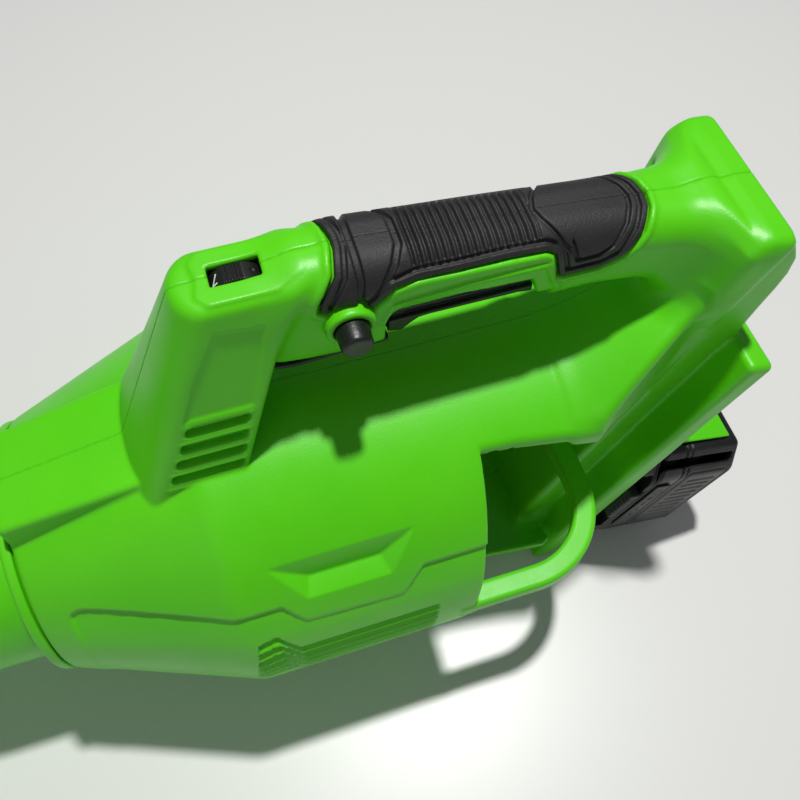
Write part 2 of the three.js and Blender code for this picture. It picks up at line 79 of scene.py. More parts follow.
def rise(value, low, high):
    """0 below low, 1 above high and a smooth step between."""
    t = np.clip((value - low) / (high - low), 0, 1)
    return t * t * (3 - 2 * t)


def wave(value, pitch):
    """Ridges of the given pitch: 1 on each crest and 0 in each hollow."""
    return 0.5 + 0.5 * np.cos(value * 2 * math.pi / pitch)


def along(value, *points):
    return np.interp(value, [p[0] for p in points], [p[1] for p in points])


def smooth_table(points, spread):
    """A curve through the points with its corners rounded over about spread millimetres."""
    low, high = points[0][0] - 40, points[-1][0] + 40
    xs = np.arange(low, high + 1.0)
    ys = along(xs, *points)
    kernel = np.hanning(spread + 2)
    padded = np.pad(ys, spread, mode="edge")
    ys = np.convolve(padded, kernel / kernel.sum(), mode="same")[spread:-spread]
    return xs, ys


def block(u, v, w, half_u, half_v, half_w, radius):
    """A box with rounded edges, centred on u = v = w = 0."""
    a, b, c = np.abs(u) - half_u + radius, np.abs(v) - half_v + radius, np.abs(w) - half_w + radius
    outside = np.sqrt(np.maximum(a, 0) ** 2 + np.maximum(b, 0) ** 2 + np.maximum(c, 0) ** 2)
    return outside + np.minimum(np.maximum(np.maximum(a, b), c), 0) - radius


def rect(u, v, half_u, half_v, radius):
    a, b = np.abs(u) - half_u + radius, np.abs(v) - half_v + radius
    return np.hypot(np.maximum(a, 0), np.maximum(b, 0)) + np.minimum(np.maximum(a, b), 0) - radius


def polygon(u, v, points):
    """Signed distance to a closed outline."""
    nearest = np.full(u.shape, 1e12)
    inside = np.ones(u.shape)
    for (ax, ay), (bx, by) in zip(points, points[-1:] + points[:-1]):
        ex, ey = bx - ax, by - ay
        wx, wy = u - ax, v - ay
        t = np.clip((wx * ex + wy * ey) / (ex * ex + ey * ey), 0, 1)
        nearest = np.minimum(nearest, (wx - ex * t) ** 2 + (wy - ey * t) ** 2)
        above, below, left = v >= ay, v < by, ex * wy > ey * wx
        flip = (above & below & left) | (~above & ~below & ~left)
        inside = np.where(flip, -inside, inside)
    return inside * np.sqrt(nearest)


def trail(u, v, points):
    """Distance to an open line of points."""
    nearest = np.full(u.shape, 1e12)
    for (ax, ay), (bx, by) in zip(points, points[1:]):
        ex, ey = bx - ax, by - ay
        wx, wy = u - ax, v - ay
        t = np.clip((wx * ex + wy * ey) / (ex * ex + ey * ey), 0, 1)
        nearest = np.minimum(nearest, (wx - ex * t) ** 2 + (wy - ey * t) ** 2)
    return np.sqrt(nearest)


def thick(flat, across, half, radius):
    """A flat outline's distance made into a plate, with its rims rounded."""
    a, b = flat + radius, np.abs(across) - half + radius
    return np.hypot(np.maximum(a, 0), np.maximum(b, 0)) + np.minimum(np.maximum(a, b), 0) - radius


def column_frame(x, z):
    """(distance behind the column's front face, distance up the column)."""
    c, s = math.cos(TILT), math.sin(TILT)
    return (x - COLUMN_X) * c - z * s, (x - COLUMN_X) * s + z * c


def from_column(lx, y, lz):
    c, s = math.cos(TILT), math.sin(TILT)
    return Vector((COLUMN_X + lx * c + lz * s, y, -lx * s + lz * c)) * MM


# ---- meshing ------------------------------------------------------------------------------
BLOCK = 8                         # voxels along a side of the blocks that are sampled or skipped


def sample(field, low, high, voxel):
    """The field on a grid; blocks far from the surface hold only its sign."""
    low = np.array(low, float)
    count = np.ceil((np.array(high, float) - low) / (voxel * BLOCK)).astype(int)
    grid = np.stack(np.meshgrid(*[np.arange(n) for n in count], indexing="ij"), -1).reshape(-1, 3)
    centre = low + (grid * BLOCK + (BLOCK - 1) / 2) * voxel
    distance = field(*centre.T)
    values = np.sign(distance).reshape(count).astype(np.float32) * voxel * 3
    values = values.repeat(BLOCK, 0).repeat(BLOCK, 1).repeat(BLOCK, 2)
    near = grid[np.abs(distance) < voxel * (BLOCK * 0.87 * 1.25 + 2)]
    inner = np.stack(np.meshgrid(*[np.arange(BLOCK)] * 3, indexing="ij"), -1).reshape(-1, 3)
    for start in range(0, len(near), 2048):
        cells = (near[start:start + 2048, None, :] * BLOCK + inner[None]).reshape(-1, 3)
        values[tuple(cells.T)] = field(*(low + cells * voxel).T)
    return values, low


def settle(points, field, voxel):
    """Moves each point onto the field's zero surface."""
    step = 0.25 * voxel
    for _ in range(2):
        here = field(*points.T)
        ahead = [field(*(points + offset).T) - here for offset in np.eye(3) * step]
        slope = np.stack(ahead, -1) / step
        length = np.maximum((slope ** 2).sum(-1), 0.25)
        move = np.clip(here / length, -0.6 * voxel, 0.6 * voxel)
        points = points - slope * move[:, None]
    return points


def skin(name, field, low, high, voxel, merge=0.0):
    """A mesh object of the field's zero surface."""
    voxel = voxel * DRAFT
    values, origin = sample(field, low, high, voxel)
    grid = openvdb.FloatGrid(voxel * 3)
    grid.copyFromArray(values)
    points, triangles, quads = grid.convertToPolygons(isovalue=0.0, adaptivity=merge)
    points = origin + points.astype(float) * voxel
    points = settle(points, field, voxel)
    mesh = bpy.data.meshes.new(name)
    mesh.vertices.add(len(points))
    mesh.vertices.foreach_set("co", (points * MM).astype(np.float32).ravel())
    faces = len(triangles) + len(quads)
    corners = np.concatenate([triangles[:, ::-1].ravel(), quads[:, ::-1].ravel()]).astype(np.int32)
    sizes = np.concatenate([np.full(len(triangles), 3), np.full(len(quads), 4)])
    mesh.loops.add(len(corners))
    mesh.loops.foreach_set("vertex_index", corners)
    mesh.polygons.add(faces)
    starts = np.concatenate([[0], np.cumsum(sizes)[:-1]]).astype(np.int32)
    mesh.polygons.foreach_set("loop_start", starts)
    mesh.polygons.foreach_set("use_smooth", np.ones(faces, bool))
    mesh.update(calc_edges=True)
    mesh.validate()
    obj = bpy.data.objects.new(name, mesh)
    bpy.context.scene.collection.objects.link(obj)
    print(f"{name}: {faces} faces")
    return obj


def finish_piece(obj, body, slot, *nodes):
    obj.data.materials.clear()
    obj.data.materials.append(MATERIALS[slot])
    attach(obj, body)
    if nodes:
        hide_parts(*nodes)
    return obj


def turned(name, profile, centre, axis, segments=160):
    """A closed profile of (distance along the axis, radius) points turned round the axis, in mm."""
    axis = Vector(axis).normalized()
    side = axis.orthogonal().normalized()
    other = axis.cross(side)
    ring = len(profile)
    points, faces = [], []
    for i in range(segments):
        angle = 2 * math.pi * i / segments
        out = side * math.cos(angle) + other * math.sin(angle)
        points += [(Vector(centre) + axis * a + out * r) * MM for a, r in profile]
        for j in range(ring):
            k, nxt = (j + 1) % ring, (i + 1) % segments
            if profile[j][1] == 0 and profile[k][1] == 0:
                continue
            faces.append([i * ring + j, i * ring + k, nxt * ring + k, nxt * ring + j])
    mesh = bpy.data.meshes.new(name)
    mesh.from_pydata(points, [], faces)
    obj = bpy.data.objects.new(name, mesh)
    bpy.context.scene.collection.objects.link(obj)
    work = bmesh.new()
    work.from_mesh(mesh)
    bmesh.ops.remove_doubles(work, verts=work.verts, dist=1e-7)
    bmesh.ops.recalc_face_normals(work, faces=work.faces)
    work.to_mesh(mesh)
    work.free()
    mesh.shade_smooth()
    return obj


# ---- housing ------------------------------------------------------------------------------
CONE_START = -47                  # x where the barrel begins to narrow, from R100 to R69 at x -128
CONE_SLOPE = 31 / 81
BARREL_FRONT = -136
RIM_MIDDLE = 62                   # x of the barrel's rear rim at the height of the blow axis
COLUMN_HALF = 36
HANDLE_TOP = smooth_table([(-8, 291), (9, 299.3), (25, 299.8), (80, 294), (130, 288), (153, 285),
                           (183, 282), (200, 280)], 12)
HANDLE_BOTTOM = smooth_table([(-8, 246), (10, 247), (25, 249), (80, 252), (130, 252), (153, 249),
                              (183, 232), (200, 216)], 16)
HANDLE_HALF = smooth_table([(-8, 14), (10, 16.5), (25, 18.3), (80, 18), (130, 18), (153, 19),
                            (175, 21), (200, 30)], 16)
HANDLE_CORNER = 13.5
GRIP_SKIN = 2.4
# (x, millimetres round the handle from its top seam)
GRIP_OUTLINE = [(25, -40), (25, 2), (22.5, 14), (16, 24), (15.5, 28), (19, 31), (29, 35.7),
                (33, 34.5), (44, 23), (53, 20.7), (71, 20), (90, 18.8), (105, 18.5), (108.5, 20),
                (111.5, 32), (114, 33.5), (130, 31.8), (139, 27), (147, 17), (152, 7), (153.5, 0),
                (153.5, -40)]
# (x, degrees above the barrel's side) of the two moulded lines on the barrel
STEP_LINE = [(-125, 39), (-116, 40), (-106, 39), (-50, 32), (-28, 32), (-19, 25), (27, 24),
             (38, 32), (70, 32)]
LOUVRE_PITCH = 4.1                # degrees
LOUVRE_DEPTH = 3.6
LOUVRE_LINE = [(-60, 17), (-41, 20), (-34, 21), (-25, 13), (44, 13)]
# Column-frame outlines: how far any fillet may reach at the column's head, and the column itself
HEAD_LIMIT = [(-600, -300), (60, -300), (60, 200), (23, 224), (18.3, 241), (14.5, 274), (9, 284),
              (-5, 296), (-14, 294.5), (-20, 292), (-60, 300), (-600, 450)]
SLAB = [(0, -60), (22, -60), (22, 222), (18, 241), (14.5, 274), (9, 284), (-5, 296), (-14, 294),
        (-19, 284), (-17, 262), (0, 238)]


def relief(x, side, z):
    """How deep the barrel's moulded panels are sunk below its round surface."""
    angle = np.degrees(np.arctan2(z - AXIS_Z, side))
    per_degree = math.radians(1) * BARREL_R
    below_line = (along(x, *STEP_LINE) - angle) * per_degree
    panel = both(-below_line, -(x + 121) / 1.4, 9.0)
    facet = 0.5 + 1.7 * np.clip((angle - 20) / 14, 0, 1)
    depth = facet * rise(-panel, 0.0, 1.7) * rise(angle, -40, -37)
    top, bottom = (44 - angle) * per_degree, (angle - 32) * per_degree
    slant = 14 / (12 * per_degree)
    left = (x + 30 - top * slant) * 0.75
    right = (37 - x - top * slant) * 0.75
    pocket = np.minimum(np.minimum(top * 0.44, bottom * 0.62), np.minimum(left, right) * 0.8)
    depth = depth + np.clip(pocket, 0, 6) * (angle > 30)
    step = (along(x, *LOUVRE_LINE) - angle) / LOUVRE_PITCH
    louvre = LOUVRE_DEPTH * (1 - np.clip(step - np.floor(step), 0, 1)) ** 0.8
    louvred = both(both(-step, step - 6), both(-43 - step * 1.2 - x, x - 43.5 + step * 0.6)) < 0
    return np.where(louvred, np.maximum(depth, louvre), depth)


def drum(x, y, z, sunk):
    r = np.hypot(y, z - AXIS_Z) + sunk
    side = both(r - BARREL_R, (r - BARREL_R - CONE_SLOPE * (x - CONE_START)) * 0.934, 1.5)
    rim = x - RIM_MIDDLE - 0.14 * (z - AXIS_Z)
    return both(both(side, BARREL_FRONT - x, 3.0), rim, 2.0)


def fairing(x, y, z):
    top = (z - 194 - (x + 127) * 13 / 59) * 0.976
    half = 28.5 + (x + 75) * 0.06
    return both(both(both(top, np.abs(y) - half + (z - 190) * 0.1, 3.0), -135.5 - x, 2.0),
                both(x + 40, 165 - z), 2.0)


DIAL_PAD = [(-21, -20), (9.5, -20), (9.5, 7), (2.5, 12.6), (-22, 12.6), (-26, 8)]
FLANK_PANEL = [(-45, 244.5), (-36, 264), (-23, 286), (-4, 284), (-10, 262), (-15.5, 244.5)]
SLOT_PITCH = 8.45                 # of the vents in the pylon's flank
SLOT_BASE = 209.2


def pylon(x, y, z):
    t = (z - 210) / 86
    half, rear, side, length = 34.5 - 20 * t, -23 + 34 * t, -61 + 39 * t, 12.0
    ahead = side - x
    inner = np.hypot(ahead / length, y / half) + 1e-6
    outer = np.hypot(ahead / length ** 2, y / half ** 2) + 1e-6
    wall = np.where(ahead > 0, inner * (inner - 1) / outer, both(np.abs(y) - half, x - rear, 5.0))
    wall = both(wall, x - rear, 5.0) * 0.92
    body = both(wall, z - 295.2, 4.0)
    dial_pad = polygon(x, np.abs(y), DIAL_PAD)
    pad = both(both(dial_pad, z - 296, 1.0), 285 - z)
    return both(join(body, pad, 1.2), 150 - z)


def pylon_relief(x, side, z):
    """The sunk panel and vent slots in the pylon's flank."""
    t = (z - 210) / 86
    face = np.abs(side - 34.5 + 20 * t)
    row = (z - SLOT_BASE) / SLOT_PITCH
    slot_middle = (np.floor(row) + 0.5) * SLOT_PITCH + SLOT_BASE
    front, back = along(z, (209, -60), (243, -44)), along(z, (209, -26.5), (243, -16.5))
    slot = rect(x - (front + back) / 2, z - slot_middle - 0.6, (back - front) / 2 - 1, 2.5, 2.0)
    slot = np.where((row > 0) & (row < 4), slot, 50)
    panel = polygon(x, z, FLANK_PANEL)
    sunk = 4.2 * rise(-slot, -0.3, 0.9) + 0.8 * rise(-panel, 0, 1.6)
    lip = 0.7 * np.exp(-((z - slot_middle - 0.6 - 3.7) / 0.9) ** 2) * ((row > -1) & (row < 4))
    lip = lip * rise(x, front - 2, front + 1) * rise(-x, -back - 1, -back + 2)
    return np.where(face < 9, sunk - lip, 0)


def handle_measures(x):
    return (np.interp(x, *table) for table in (HANDLE_TOP, HANDLE_BOTTOM, HANDLE_HALF))


def handle(x, y, z):
    top, bottom, half = handle_measures(x)
    side = np.abs(y)
    up = np.where(z > (top + bottom) / 2, HANDLE_CORNER, 9.0)
    a, b = side - half + up, np.abs(z - (top + bottom) / 2) - (top - bottom) / 2 + up
    return np.hypot(np.maximum(a, 0), np.maximum(b, 0)) + np.minimum(np.maximum(a, b), 0) - up


def girth(x, y, z):
    """Distance round the handle from its top seam, on its surface."""
    top, _, half = handle_measures(x)
    side = np.abs(y)
    flat = half - HANDLE_CORNER
    dy, dz = side - flat, z - (top - HANDLE_CORNER)
    turn = np.arctan2(np.maximum(dy, 0), np.maximum(dz, 1e-3))
    arc = flat + HANDLE_CORNER * turn
    return np.where(dy < 0, side, np.where(dz < 0, flat + HANDLE_CORNER * math.pi / 2 - dz, arc))


def grip_zone(x, y, z):
    return polygon(x, girth(x, y, z), GRIP_OUTLINE)


TRIGGER_WINDOW = [(40, 235), (40.5, 266), (42, 271.5), (48.4, 275), (62.6, 274.5), (82, 272.1),
                  (101, 270.9), (103.2, 263.8), (105, 258), (111, 256), (111, 235)]
TRIGGER_RIM = [(39, 268), (43.5, 278), (72, 279.5), (105.5, 278.5), (109.5, 268), (113, 262)]


def bare_handle(x, y, z):
    solid = handle(x, y, z)
    side = np.abs(y)
    zone = grip_zone(x, y, z)
    sunk = GRIP_SKIN * rise(-zone, -0.9, -0.3)
    lip = 0.9 * np.exp(-((zone - 2.2) / 1.3) ** 2) * (zone < 6)
    rim = trail(x, z, TRIGGER_RIM)
    lip = lip + 1.2 * np.exp(-(rim / 1.3) ** 2) * (side > 8)
    lx, lz = column_frame(x, z)
    rear_end = lx - along(lz, (236, 8), (262, -8), (292, -13))
    ended = both(both(solid + sunk - lip, -4 - x, 4.0), rear_end)
    middle = both(both(42 - x, x - 111), z - 260.5, 1.5)
    flank = both(polygon(x, z, TRIGGER_WINDOW), 9.5 - side, 1.0)
    return cut(cut(ended, middle, 1.5), flank, 1.2)


def saddle(x, y, z):
    """The roof over the intake, which rises and narrows into the column."""
    side = np.abs(y)
    r = np.hypot(y, z - AXIS_Z)
    edge = along(x, (40, 51), (74, 52.5), (91, 53.5), (126, 58), (131, 58.5), (146, 50), (176, 35),
                 (188, 30), (210, 30))
    roof = both(both(np.abs(r - 96.6) - 3.4, side - edge, 3.0), both(45 - x, x - 136, 3.0))
    t = rise(x, 112, 190)
    crown = AXIS_Z + np.sqrt(np.maximum(BARREL_R ** 2 - np.minimum(side, 62) ** 2, 1))
    top = crown * (1 - t) + t * 242
    bottom = along(x, (110, 188), (130, 186), (190, 180))
    web = both(both((z - top) * 0.9, side - edge, 7.0), both(bottom - z, 118 - x), 3.0)
    return join(roof, both(web, column_frame(x, z)[0] - 8), 3.0)


def column(x, y, z):
    lx, lz = column_frame(x, z)
    side = np.abs(y)
    slab = both(polygon(lx, lz, SLAB), side - COLUMN_HALF, 5.0)
    slab = both(slab, (side - COLUMN_HALF) * 0.7 + (lz - 296) * 0.7 + 3.2, 6.0)
    return both(slab, 3.3 - z)


def dock(x, y, z):
    lx, lz = column_frame(x, z)
    return both(block(lx - 25.5, y, lz - 85.5, 7.5, 56, 145.5, 3.5), 3.3 - z)


def hoop_path(x, y):
    """Distance to the middle line of the guard hoop, seen from above."""
    cx, cy, turn = 98.0, 53.0, 41.0
    bend = rect(x - 60, y, cx - 60 + turn, cy + turn, turn)
    return np.abs(np.where(x < cx, np.abs(y) - 94, bend))


def hoop(x, y, z):
    flat = hoop_path(x, y) - 6
    ring = thick(flat, z - AXIS_Z, 5.6, 2.2)
    return both(ring, 56 - x)


def ring_y(x, y, z, cx, cz, radius, y0, y1, soft=0.0):
    return both(np.hypot(x - cx, z - cz) - radius, both(y0 - y, y - y1), soft)


# (x, z, outer half width, whether its head shows on the right-hand side)
SCREWS = [(-34, 236, 27.5, True), (14, 283, 15.5, True), (176, 264, 21, True),
          (-100, 184, 35, False), (188, 236, 35, True), (150, 104, 35, True), (134, 30, 35, True)]


LOCK_AT = (26, 274)               # (x, z) of the lock-off button
SEAM_LAP = 0.2                    # each half runs this far past the middle, so no gap shows


def outside(x, y, z):
    """The whole housing as one solid, before it is hollowed."""
    side = np.abs(y)
    front = join(drum(x, y, z, relief(x, side, z)), fairing(x, y, z), 2.0)
    front = join(front, pylon(x, y, z) + pylon_relief(x, side, z), 1.0)
    rear = join(column(x, y, z), saddle(x, y, z), 12.0)
    solid = join(front, rear)
    solid = join(solid, bare_handle(x, y, z), along(x, (60, 7), (130, 8), (175, 26)))
    lx, lz = column_frame(x, z)
    solid = both(solid, polygon(lx, lz, HEAD_LIMIT), 3.0)
    flare = 36.6 + 0.6 * np.maximum(-2 - lx, 0)
    solid = cut(solid, both(both(flare - side, 150 - lz), -40 - lx), 2.0)
    solid = join(solid, dock(x, y, z), 2.5)
    return join(solid, ring_y(x, y, z, *LOCK_AT, 10.0, -22.5, 0, 1.6), 1.2)


def housing(x, y, z):
    solid = outside(x, y, z)
    shell = both(solid, -(solid + WALL))
    r = np.hypot(y, z - AXIS_Z)
    mouth = both(r - 95.6, both(40 - x, x - 90))
    nozzle = both(r - 62.6, both(-140 - x, x + 124))
    shell = cut(cut(shell, both(mouth, z - 208)), nozzle, 0.8)
    shell = join(shell, hoop(x, y, z), 2.5)
    for sx, sz, half, open_bore in SCREWS:
        boss = both(np.hypot(x - sx, z - sz) - 5.2, solid + 1.2)
        shell = join(shell, boss, 1.0)
        if open_bore:
            shell = cut(shell, ring_y(x, y, z, sx, sz, 4.0, half - 5, 80), 0.6)
    window = block(x + 10.4, y, z - 296, 9.5, 4.7, 12, 0.6)
    shell = cut(shell, window, 0.5)
    slot = both(both(-9 - x, x - 114), both(np.abs(y) - 7.6, both(238 - z, z - 262)))
    ceiling = along(x, (-6, 251), (42, 253))
    arm = both(both(-9 - x, x - 46), both(np.abs(y) - 14.6, both(238 - z, z - ceiling)))
    shell = cut(cut(shell, slot), arm)
    shell = cut(shell, ring_y(x, y, z, *LOCK_AT, 7.1, -40, -8), 0.8)
    lx, lz = column_frame(x, z)
    terminals = block(lx - 33, y, lz - 89, 6, 30, 27, 1)
    return cut(shell, terminals)


def left_half(x, y, z):
    return both(housing(x, y, z), y - SEAM_LAP, 0.2)


def right_half(x, y, z):
    return both(housing(x, y, z), -SEAM_LAP - y, 0.2)


# ---- camera, floor and light --------------------------------------------------------------
def make_camera():
    data = bpy.data.cameras.new("camera")
    data.sensor_width = 36.0
    data.lens = 36.52
    data.clip_start = 0.01
    camera = bpy.data.objects.new("camera", data)
    right = Vector((0.95305, -0.30235, 0.01654))
    up = Vector((0.25748, 0.83793, 0.48123))
    back = Vector((-0.15936, -0.45438, 0.87644))
    camera.matrix_world = Matrix((
        (right.x, up.x, back.x, -0.01181),
        (right.y, up.y, back.y, -0.18628),
        (right.z, up.z, back.z, 0.52624),
        (0, 0, 0, 1),
    ))
    bpy.context.scene.collection.objects.link(camera)
    bpy.context.scene.camera = camera


def make_floor():
    mesh = bpy.data.meshes.new("floor")
    mesh.from_pydata([(-3, -3, 0), (3, -3, 0), (3, 3, 0), (-3, 3, 0)], [], [(0, 1, 2, 3)])
    floor = bpy.data.objects.new("floor", mesh)
    bpy.context.scene.collection.objects.link(floor)
    material = bpy.data.materials.new("floor")
    material.use_nodes = True
    shader = material.node_tree.nodes["Principled BSDF"]
    shader.inputs["Base Color"].default_value = (0.80, 0.80, 0.79, 1)
    shader.inputs["Roughness"].default_value = 0.35
    mesh.materials.append(material)


def area_light(name, place, target, size, power, colour):
    data = bpy.data.lights.new(name, "AREA")
    data.shape = "DISK"
    data.size = size
    data.energy = power
    data.color = colour
    light = bpy.data.objects.new(name, data)
    light.location = place
    light.rotation_euler = (Vector(target) - Vector(place)).to_track_quat("-Z", "Y").to_euler()
    bpy.context.scene.collection.objects.link(light)


make_camera()
make_floor()
area_light("key", (0.26, 0.24, 2.1), (0.0, 0.0, 0.1), 0.12, 36, (1.0, 0.99, 0.97))
area_light("fill", (-1.2, -1.4, 1.2), (0.0, 0.0, 0.1), 1.6, 3, (0.95, 0.98, 1.0))
world = bpy.data.worlds.new("studio")
world.use_nodes = True
world.node_tree.nodes["Background"].inputs["Color"].default_value = (0.94, 0.97, 1.0, 1)
world.node_tree.nodes["Background"].inputs["Strength"].default_value = 0.14
bpy.context.scene.world = world
bpy.context.scene.view_settings.view_transform = "Standard"


# ---- materials ----------------------------------------------------------------------------
class Recipe:
    """A Principled material and short calls for the nodes that feed it."""

    def __init__(self, name):
        self.material = bpy.data.materials.new(name)
        self.material.use_nodes = True
        self.nodes = self.material.node_tree.nodes
        self.links = self.material.node_tree.links
        self.shader = self.nodes["Principled BSDF"]
        self.place = self.nodes.new("ShaderNodeTexCoord").outputs["Object"]

    def add(self, kind, values=(), **settings):
        node = self.nodes.new("ShaderNode" + kind)
        for key, value in settings.items():
            setattr(node, key, value)
        for socket, value in dict(values).items():
            if isinstance(value, bpy.types.NodeSocket):
                self.links.new(value, node.inputs[socket])
            else:
                node.inputs[socket].default_value = value
        return node

    def noise(self, scale, detail=3.0, roughness=0.55):
        values = {"Vector": self.place, "Scale": scale, "Detail": detail, "Roughness": roughness}
        return self.add("TexNoise", values).outputs["Fac"]

    def cells(self, scale):
        return self.add("TexVoronoi", {"Vector": self.place, "Scale": scale})

    def span(self, value, low, high, to_low, to_high):
        node = self.add("MapRange", {"Value": value, "From Min": low, "From Max": high,
                                     "To Min": to_low, "To Max": to_high})
        return node.outputs["Result"]

    def math(self, operation, a, b):
        return self.add("Math", {0: a, 1: b}, operation=operation).outputs[0]

    def tint(self, factor, a, b):
        node = self.add("Mix", data_type="RGBA")
        for socket, value in ((node.inputs[0], factor), (node.inputs[6], a), (node.inputs[7], b)):
            if isinstance(value, bpy.types.NodeSocket):
                self.links.new(value, socket)
            else:
                socket.default_value = value
        return node.outputs[2]

    def worn_edge(self, low, high):
        """1 on outward edges, broken up by noise."""
        pointed = self.add("NewGeometry").outputs["Pointiness"]
        broken = self.span(self.noise(90.0, 5.0), 0.42, 0.62, 0.0, 1.0)
        return self.math("MULTIPLY", self.span(pointed, low, high, 0.0, 1.0), broken)

    def feed(self, socket, value):
        self.links.new(value, self.shader.inputs[socket])

    def bump(self, height, strength, distance, under=None):
        values = {"Height": height, "Strength": strength, "Distance": distance}
        if under:
            values["Normal"] = under
        return self.add("Bump", values).outputs["Normal"]


def moulded_green():
    r = Recipe("green_plastic")
    flake = r.cells(2200.0)
    # painted glint: the brightest flake cells stand for light caught by the flakes; the same cells
    # are also made glossier below
    painted_glint_flakes = r.span(flake.outputs["Color"], 0.86, 1.0, 0.0, 1.0)
    drift = r.span(r.noise(14.0, 4.0), 0.3, 0.7, 0.0, 1.0)
    colour = r.tint(drift, (0.085, 0.60, 0.003, 1), (0.11, 0.66, 0.005, 1))
    # painted glint: those flake cells are tinted a lighter green in the base colour
    colour = r.tint(r.math("MULTIPLY", painted_glint_flakes, 0.14), colour, (0.30, 0.78, 0.12, 1))
    worn = r.math("MULTIPLY", r.worn_edge(0.53, 0.62), 0.35)
    colour = r.tint(worn, colour, (0.24, 0.72, 0.10, 1))
    r.feed("Base Color", colour)
    haze = r.span(r.noise(40.0, 5.0), 0.3, 0.7, 0.33, 0.45)
    r.feed("Roughness", r.math("SUBTRACT", haze, r.math("MULTIPLY", painted_glint_flakes, 0.08)))
    grain = r.bump(r.noise(900.0, 2.0), 0.20, 0.00025)
    r.feed("Normal", r.bump(flake.outputs["Distance"], 0.10, 0.0002, grain))
    r.shader.inputs["Specular IOR Level"].default_value = 0.42
    return r.material


def moulded_dark(name, dark, light, rough, grain_scale, grain):
    """Black and grey plastics and rubber: a spark-eroded grain, dust in it and pale worn edges."""
    r = Recipe(name)
    drift = r.span(r.noise(30.0, 5.0), 0.3, 0.7, 0.0, 1.0)
    colour = r.tint(drift, dark, light)
    speck = r.span(r.noise(700.0, 2.0), 0.66, 0.74, 0.0, 0.35)
    colour = r.tint(speck, colour, tuple(min(1.0, c * 2.6) for c in light[:3]) + (1,))
    colour = r.tint(r.math("MULTIPLY", r.worn_edge(0.54, 0.66), 0.5), colour, (0.10, 0.10, 0.10, 1))
    r.feed("Base Color", colour)
    r.feed("Roughness", r.span(r.noise(55.0, 5.0), 0.3, 0.7, rough - 0.07, rough + 0.08))
    fine = r.bump(r.noise(grain_scale, 3.0), grain, 0.0004)
    coarse = r.cells(grain_scale * 0.6).outputs["Distance"]
    r.feed("Normal", r.bump(coarse, grain * 0.6, 0.0003, fine))
    return r.material


def metal(name, dull, bright, rough):
    r = Recipe(name)
    stretched = r.add("Mapping", {"Vector": r.place, "Scale": (40.0, 900.0, 900.0)})
    lines = r.add("TexNoise", {"Vector": stretched.outputs["Vector"], "Scale": 2.0, "Detail": 3.0})
    lines = lines.outputs["Fac"]
    stain = r.span(r.noise(120.0, 4.0), 0.35, 0.65, 0.0, 1.0)
    r.feed("Base Color", r.tint(stain, dull, bright))
    r.feed("Roughness", r.span(lines, 0.3, 0.7, rough - 0.08, rough + 0.1))
    r.feed("Normal", r.bump(lines, 0.15, 0.0002))
    r.shader.inputs["Metallic"].default_value = 1.0
    return r.material


def board():
    r = Recipe("circuit_board")
    tracks = r.add("TexBrick", {"Vector": r.place, "Scale": 160.0, "Color1": (0.01, 0.10, 0.035, 1),
                                "Color2": (0.015, 0.14, 0.05, 1), "Mortar": (0.05, 0.26, 0.10, 1)})
    r.feed("Base Color", tracks.outputs["Color"])
    r.feed("Roughness", r.span(r.noise(80.0), 0.3, 0.7, 0.3, 0.5))
    r.feed("Normal", r.bump(tracks.outputs["Fac"], 0.3, 0.0002))
    return r.material


# name: (dark colour, light colour, roughness, grain scale, grain strength)
DARK_PLASTICS = {
    "black_rubber": ((0.011, 0.011, 0.0115, 1), (0.021, 0.021, 0.022, 1), 0.58, 1400, 0.35),
    "black_plastic": ((0.0055, 0.0062, 0.0062, 1), (0.011, 0.012, 0.012, 1), 0.42, 1100, 0.25),
    "grey_plastic": ((0.030, 0.031, 0.033, 1), (0.050, 0.052, 0.055, 1), 0.5, 1100, 0.25),
    "wire_sleeve": ((0.22, 0.012, 0.010, 1), (0.32, 0.02, 0.016, 1), 0.45, 900, 0.1),
}
MATERIALS = {name: moulded_dark(name, *values) for name, values in DARK_PLASTICS.items()}
MATERIALS["green_plastic"] = moulded_green()
MATERIALS["steel"] = metal("steel", (0.42, 0.43, 0.45, 1), (0.62, 0.63, 0.65, 1), 0.32)
MATERIALS["copper"] = metal("copper", (0.50, 0.27, 0.13, 1), (0.72, 0.43, 0.24, 1), 0.35)
MATERIALS["circuit_board"] = board()
for part in frame["record"]["subparts"]:
    node = frame["nodes"][part["node"]]
    node.data.materials.clear()
    node.data.materials.append(MATERIALS[part["material_slot"]])


# ---- housing pieces -----------------------------------------------------------------------
left = skin("housing_left", left_half, (-144, -108, -2), (222, 4, 306), 1.0)
finish_piece(left, "root", "green_plastic", "left_housing_shell", "intake_guard_hoop")
right = skin("housing_right", right_half, (-144, -4, -2), (222, 108, 306), 1.2)
finish_piece(right, "root", "green_plastic", "right_housing_shell")


# ---- grip ---------------------------------------------------------------------------------
V_GROOVE = [(31.5, -40), (31.8, 18), (30.5, 26), (33, 29), (37, 25), (45, 14), (48.5, 6),
            (49.5, -40)]
REAR_GROOVE = [(102, -40), (104, 0), (106, 6), (112, 16), (119, 24.5)]
RIB = 3.05                        # pitch of the grip's ribs


